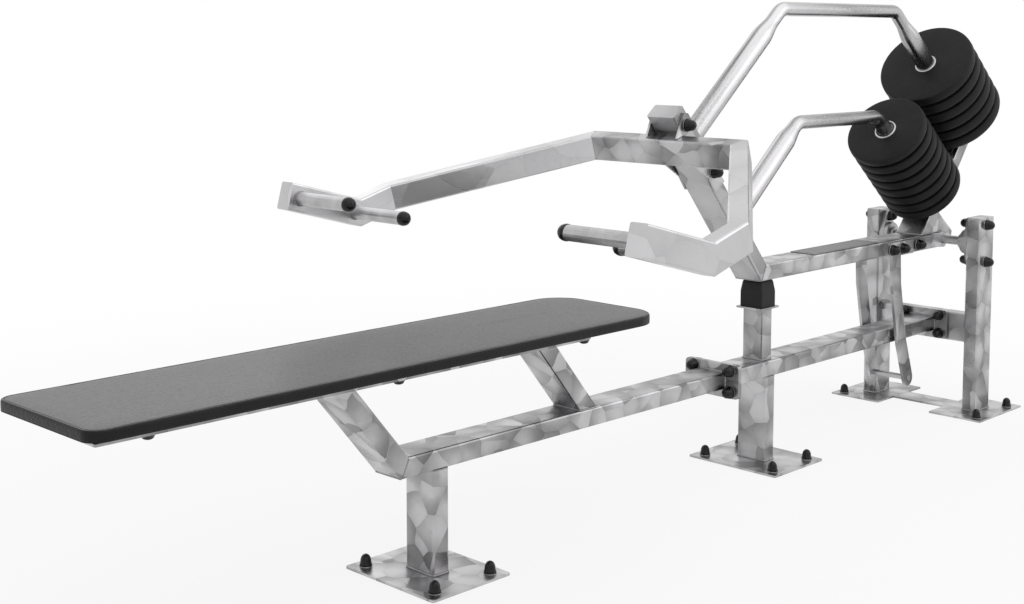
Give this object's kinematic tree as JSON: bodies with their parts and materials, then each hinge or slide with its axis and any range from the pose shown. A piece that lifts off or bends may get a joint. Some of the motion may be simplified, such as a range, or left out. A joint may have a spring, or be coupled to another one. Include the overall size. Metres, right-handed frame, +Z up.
{
  "type": "lever bench press machine",
  "caption": "Flat-bench chest press with a long hinged steel lever, flared double-grip handles, nested weight loops carrying rubber-coated discs and a rubber rest bumper.",
  "frame": {"origin": "on the floor under the centre of the front post, on the underside of the front foot plate", "axes": "+X along the spine from the head end of the bench to the rear posts, +Y to the left when looking along +X, +Z up"},
  "size_m": [2.9164, 1.0226, 1.1195],
  "materials": {
    "vinyl": "black grained vinyl with a soft sheen",
    "disc_rubber": "black rubber coating, slightly mottled",
    "bumper_rubber": "moulded black rubber",
    "bearing_housing": "cast housing, bright",
    "round_steel": "brushed round tube and bar",
    "swirled_steel": "stainless steel ground in overlapping fans"
  },
  "bodies": {
    "frame": {"bench_pad": "vinyl", "bench_plate": "swirled_steel", "bench_strut_front": "swirled_steel", "bench_strut_rear": "swirled_steel", "front_spine": "swirled_steel", "front_post": "swirled_steel", "front_foot_plate": "swirled_steel", "joint_flange_front": "swirled_steel", "joint_flange_rear": "swirled_steel", "rear_spine": "swirled_steel", "middle_post": "swirled_steel", "middle_foot_plate": "swirled_steel", "bumper_post": "swirled_steel", "bumper_plate": "swirled_steel", "rubber_bumper": "bumper_rubber", "spine_end_flange": "swirled_steel", "rear_cross_tube": "swirled_steel", "rear_post_left": "swirled_steel", "rear_post_right": "swirled_steel", "rear_foot_plate": "swirled_steel", "bearing_left": "bearing_housing", "bearing_right": "bearing_housing"},
    "lever": {"lever_beam": "swirled_steel", "riser": "swirled_steel", "rear_brace": "swirled_steel", "label_plate": "swirled_steel", "inner_horn": "round_steel", "outer_horn": "round_steel", "hub_tube": "round_steel", "pivot_axle": "round_steel", "gusset_left": "swirled_steel", "gusset_right": "swirled_steel", "side_plate_left": "swirled_steel", "side_plate_right": "swirled_steel", "stirrup_bar_left": "swirled_steel", "stirrup_bar_right": "swirled_steel", "stirrup_rod": "round_steel", "handle_crossbar": "swirled_steel", "cheek_left": "swirled_steel", "cheek_right": "swirled_steel", "arm_left": "swirled_steel", "arm_right": "swirled_steel", "grip_front_left": "round_steel", "grip_back_left": "round_steel", "grip_front_right": "round_steel", "grip_back_right": "round_steel"},
    "inner_disc_1": {"inner_disc_1": "disc_rubber"},
    "inner_disc_2": {"inner_disc_2": "disc_rubber"},
    "inner_disc_3": {"inner_disc_3": "disc_rubber"},
    "inner_disc_4": {"inner_disc_4": "disc_rubber"},
    "inner_disc_5": {"inner_disc_5": "disc_rubber"},
    "inner_disc_6": {"inner_disc_6": "disc_rubber"},
    "inner_disc_7": {"inner_disc_7": "disc_rubber"},
    "inner_disc_8": {"inner_disc_8": "disc_rubber"},
    "outer_disc_1": {"outer_disc_1": "disc_rubber"},
    "outer_disc_2": {"outer_disc_2": "disc_rubber"},
    "outer_disc_3": {"outer_disc_3": "disc_rubber"},
    "outer_disc_4": {"outer_disc_4": "disc_rubber"},
    "outer_disc_5": {"outer_disc_5": "disc_rubber"},
    "outer_disc_6": {"outer_disc_6": "disc_rubber"}
  },
  "joints": [
    {"name": "lever_pivot", "type": "hinge", "parent": "frame", "child": "lever", "pos_m": [1.9, 0, 0.47], "axis": [0, 1, 0], "range_deg": [0, 21]},
    {"name": "inner_disc_1_slide", "type": "slide", "parent": "lever", "child": "inner_disc_1", "axis": [-0.766, 0, 0.6428], "range_m": [0, 0.038]},
    {"name": "inner_disc_2_slide", "type": "slide", "parent": "lever", "child": "inner_disc_2", "axis": [-0.766, 0, 0.6428], "range_m": [0, 0.0333]},
    {"name": "inner_disc_3_slide", "type": "slide", "parent": "lever", "child": "inner_disc_3", "axis": [-0.766, 0, 0.6428], "range_m": [0, 0.02855]},
    {"name": "inner_disc_4_slide", "type": "slide", "parent": "lever", "child": "inner_disc_4", "axis": [-0.766, 0, 0.6428], "range_m": [0, 0.0238]},
    {"name": "inner_disc_5_slide", "type": "slide", "parent": "lever", "child": "inner_disc_5", "axis": [-0.766, 0, 0.6428], "range_m": [0, 0.01905]},
    {"name": "inner_disc_6_slide", "type": "slide", "parent": "lever", "child": "inner_disc_6", "axis": [-0.766, 0, 0.6428], "range_m": [0, 0.0143]},
    {"name": "inner_disc_7_slide", "type": "slide", "parent": "lever", "child": "inner_disc_7", "axis": [-0.766, 0, 0.6428], "range_m": [0, 0.00955]},
    {"name": "inner_disc_8_slide", "type": "slide", "parent": "lever", "child": "inner_disc_8", "axis": [-0.766, 0, 0.6428], "range_m": [0, 0.0048]},
    {"name": "outer_disc_1_slide", "type": "slide", "parent": "lever", "child": "outer_disc_1", "axis": [-0.766, 0, 0.6428], "range_m": [0, 0.15]},
    {"name": "outer_disc_2_slide", "type": "slide", "parent": "lever", "child": "outer_disc_2", "axis": [-0.766, 0, 0.6428], "range_m": [0, 0.12505]},
    {"name": "outer_disc_3_slide", "type": "slide", "parent": "lever", "child": "outer_disc_3", "axis": [-0.766, 0, 0.6428], "range_m": [0, 0.10005]},
    {"name": "outer_disc_4_slide", "type": "slide", "parent": "lever", "child": "outer_disc_4", "axis": [-0.766, 0, 0.6428], "range_m": [0, 0.07505]},
    {"name": "outer_disc_5_slide", "type": "slide", "parent": "lever", "child": "outer_disc_5", "axis": [-0.766, 0, 0.6428], "range_m": [0, 0.05005]},
    {"name": "outer_disc_6_slide", "type": "slide", "parent": "lever", "child": "outer_disc_6", "axis": [-0.766, 0, 0.6428], "range_m": [0, 0.02505]}
  ],
  "couplings": [
    {"joint": "inner_disc_2_slide", "follows": "inner_disc_1_slide", "ratio": 0.875},
    {"joint": "inner_disc_3_slide", "follows": "inner_disc_1_slide", "ratio": 0.75},
    {"joint": "inner_disc_4_slide", "follows": "inner_disc_1_slide", "ratio": 0.625},
    {"joint": "inner_disc_5_slide", "follows": "inner_disc_1_slide", "ratio": 0.5},
    {"joint": "inner_disc_6_slide", "follows": "inner_disc_1_slide", "ratio": 0.375},
    {"joint": "inner_disc_7_slide", "follows": "inner_disc_1_slide", "ratio": 0.25},
    {"joint": "inner_disc_8_slide", "follows": "inner_disc_1_slide", "ratio": 0.125},
    {"joint": "outer_disc_2_slide", "follows": "outer_disc_1_slide", "ratio": 0.83333},
    {"joint": "outer_disc_3_slide", "follows": "outer_disc_1_slide", "ratio": 0.66667},
    {"joint": "outer_disc_4_slide", "follows": "outer_disc_1_slide", "ratio": 0.5},
    {"joint": "outer_disc_5_slide", "follows": "outer_disc_1_slide", "ratio": 0.33333},
    {"joint": "outer_disc_6_slide", "follows": "outer_disc_1_slide", "ratio": 0.16667}
  ]
}
